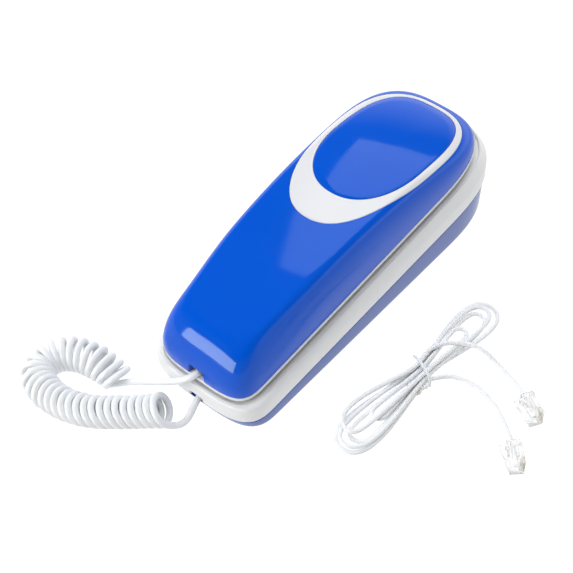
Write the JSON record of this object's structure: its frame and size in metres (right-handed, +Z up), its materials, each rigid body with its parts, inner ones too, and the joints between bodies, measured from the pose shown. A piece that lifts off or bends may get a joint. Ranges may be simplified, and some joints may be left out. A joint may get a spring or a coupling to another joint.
{
  "type": "corded telephone",
  "caption": "Slim corded telephone: a long domed handset lies face down on a wedge-shaped base, with a curly cord at the front and a tied line cord.",
  "frame": {"origin": "on the resting surface, under the middle of the base", "axes": "+X to the right seen from the mouth end, +Y from the mouth end to the ear end, along the handset, +Z up"},
  "size_m": [0.2093, 0.2362, 0.0596],
  "materials": {
    "blue_shell": "gloss",
    "white_shell": "gloss",
    "trim_white": "gloss",
    "white_button": "satin",
    "key_white": "satin",
    "feet_rubber": "matte",
    "mat_rubber": "matte",
    "screw_steel": "satin",
    "spring_steel": "satin",
    "ballast_steel": "matte",
    "speaker_steel": "satin",
    "capsule_aluminium": "satin",
    "contact_gold": "polished",
    "board_green": "satin",
    "black_part": "matte",
    "jack_plastic": "satin",
    "cord_white": "satin",
    "clear_plug": "clear",
    "tie_white": "matte"
  },
  "bodies": {
    "base": {"base_bottom_shell": "blue_shell", "base_top_shell": "white_shell", "rubber_feet": "feet_rubber", "base_screws": "screw_steel", "base_circuit_board": "board_green", "ringer_buzzer": "black_part", "ballast_plate": "ballast_steel", "hook_switch_body": "black_part", "hook_spring": "spring_steel", "ringer_switch_body": "black_part", "line_jack": "jack_plastic", "base_cord_jack": "jack_plastic", "handset_plug_lower": "clear_plug", "handset_cord_coil": "cord_white", "handset_cord_lead_lower": "cord_white", "line_cord_hank": "cord_white", "line_cord_tail_a": "cord_white", "line_cord_tail_b": "cord_white", "line_plug_a": "clear_plug", "line_plug_b": "clear_plug", "line_plug_contacts": "contact_gold", "twist_tie": "tie_white"},
    "hook_plunger": {"hook_plunger": "white_button"},
    "ringer_slider": {"ringer_slider": "white_button"},
    "handset": {"handset_back_shell": "blue_shell", "crescent_trim": "trim_white", "ear_cap": "blue_shell", "handset_front_shell": "white_shell", "earpiece_speaker": "speaker_steel", "microphone_capsule": "capsule_aluminium", "keypad_board": "board_green", "keypad_mat": "mat_rubber", "handset_screws": "screw_steel", "handset_cord_jack": "jack_plastic", "handset_plug_upper": "clear_plug", "handset_cord_lead_upper": "cord_white"},
    "key_1": {"key_1": "key_white"},
    "key_2": {"key_2": "key_white"},
    "key_3": {"key_3": "key_white"},
    "key_4": {"key_4": "key_white"},
    "key_5": {"key_5": "key_white"},
    "key_6": {"key_6": "key_white"},
    "key_7": {"key_7": "key_white"},
    "key_8": {"key_8": "key_white"},
    "key_9": {"key_9": "key_white"},
    "key_star": {"key_star": "key_white"},
    "key_0": {"key_0": "key_white"},
    "key_hash": {"key_hash": "key_white"},
    "key_flash": {"key_flash": "key_white"},
    "key_redial": {"key_redial": "key_white"},
    "key_mute": {"key_mute": "key_white"}
  },
  "joints": [
    {"name": "handset_lift", "type": "slide", "parent": "base", "child": "handset", "axis": [0, -0.1045, 0.9945], "range_m": [0, 0.09]},
    {"name": "hook_plunger_travel", "type": "slide", "parent": "base", "child": "hook_plunger", "axis": [0, 0, 1], "range_m": [0, 0.0027], "deforming": ["hook_spring"]},
    {"name": "ringer_slide", "type": "slide", "parent": "base", "child": "ringer_slider", "axis": [0, 1, 0], "range_m": [-0.0035, 0.0035]},
    {"name": "key_1_press", "type": "slide", "parent": "handset", "child": "key_1", "axis": [0, -0.1045, 0.9945], "range_m": [0, 0.0012], "stiffness_N_per_m": 600},
    {"name": "key_2_press", "type": "slide", "parent": "handset", "child": "key_2", "axis": [0, -0.1045, 0.9945], "range_m": [0, 0.0012], "stiffness_N_per_m": 600},
    {"name": "key_3_press", "type": "slide", "parent": "handset", "child": "key_3", "axis": [0, -0.1045, 0.9945], "range_m": [0, 0.0012], "stiffness_N_per_m": 600},
    {"name": "key_4_press", "type": "slide", "parent": "handset", "child": "key_4", "axis": [0, -0.1045, 0.9945], "range_m": [0, 0.0012], "stiffness_N_per_m": 600},
    {"name": "key_5_press", "type": "slide", "parent": "handset", "child": "key_5", "axis": [0, -0.1045, 0.9945], "range_m": [0, 0.0012], "stiffness_N_per_m": 600},
    {"name": "key_6_press", "type": "slide", "parent": "handset", "child": "key_6", "axis": [0, -0.1045, 0.9945], "range_m": [0, 0.0012], "stiffness_N_per_m": 600},
    {"name": "key_7_press", "type": "slide", "parent": "handset", "child": "key_7", "axis": [0, -0.1045, 0.9945], "range_m": [0, 0.0012], "stiffness_N_per_m": 600},
    {"name": "key_8_press", "type": "slide", "parent": "handset", "child": "key_8", "axis": [0, -0.1045, 0.9945], "range_m": [0, 0.0012], "stiffness_N_per_m": 600},
    {"name": "key_9_press", "type": "slide", "parent": "handset", "child": "key_9", "axis": [0, -0.1045, 0.9945], "range_m": [0, 0.0012], "stiffness_N_per_m": 600},
    {"name": "key_star_press", "type": "slide", "parent": "handset", "child": "key_star", "axis": [0, -0.1045, 0.9945], "range_m": [0, 0.0012], "stiffness_N_per_m": 600},
    {"name": "key_0_press", "type": "slide", "parent": "handset", "child": "key_0", "axis": [0, -0.1045, 0.9945], "range_m": [0, 0.0012], "stiffness_N_per_m": 600},
    {"name": "key_hash_press", "type": "slide", "parent": "handset", "child": "key_hash", "axis": [0, -0.1045, 0.9945], "range_m": [0, 0.0012], "stiffness_N_per_m": 600},
    {"name": "key_flash_press", "type": "slide", "parent": "handset", "child": "key_flash", "axis": [0, -0.1045, 0.9945], "range_m": [0, 0.0012], "stiffness_N_per_m": 600},
    {"name": "key_redial_press", "type": "slide", "parent": "handset", "child": "key_redial", "axis": [0, -0.1045, 0.9945], "range_m": [0, 0.0012], "stiffness_N_per_m": 600},
    {"name": "key_mute_press", "type": "slide", "parent": "handset", "child": "key_mute", "axis": [0, -0.1045, 0.9945], "range_m": [0, 0.0012], "stiffness_N_per_m": 600}
  ],
  "couplings": [
    {"joint": "hook_plunger_travel", "follows": "handset_lift", "ratio": 0.03}
  ]
}
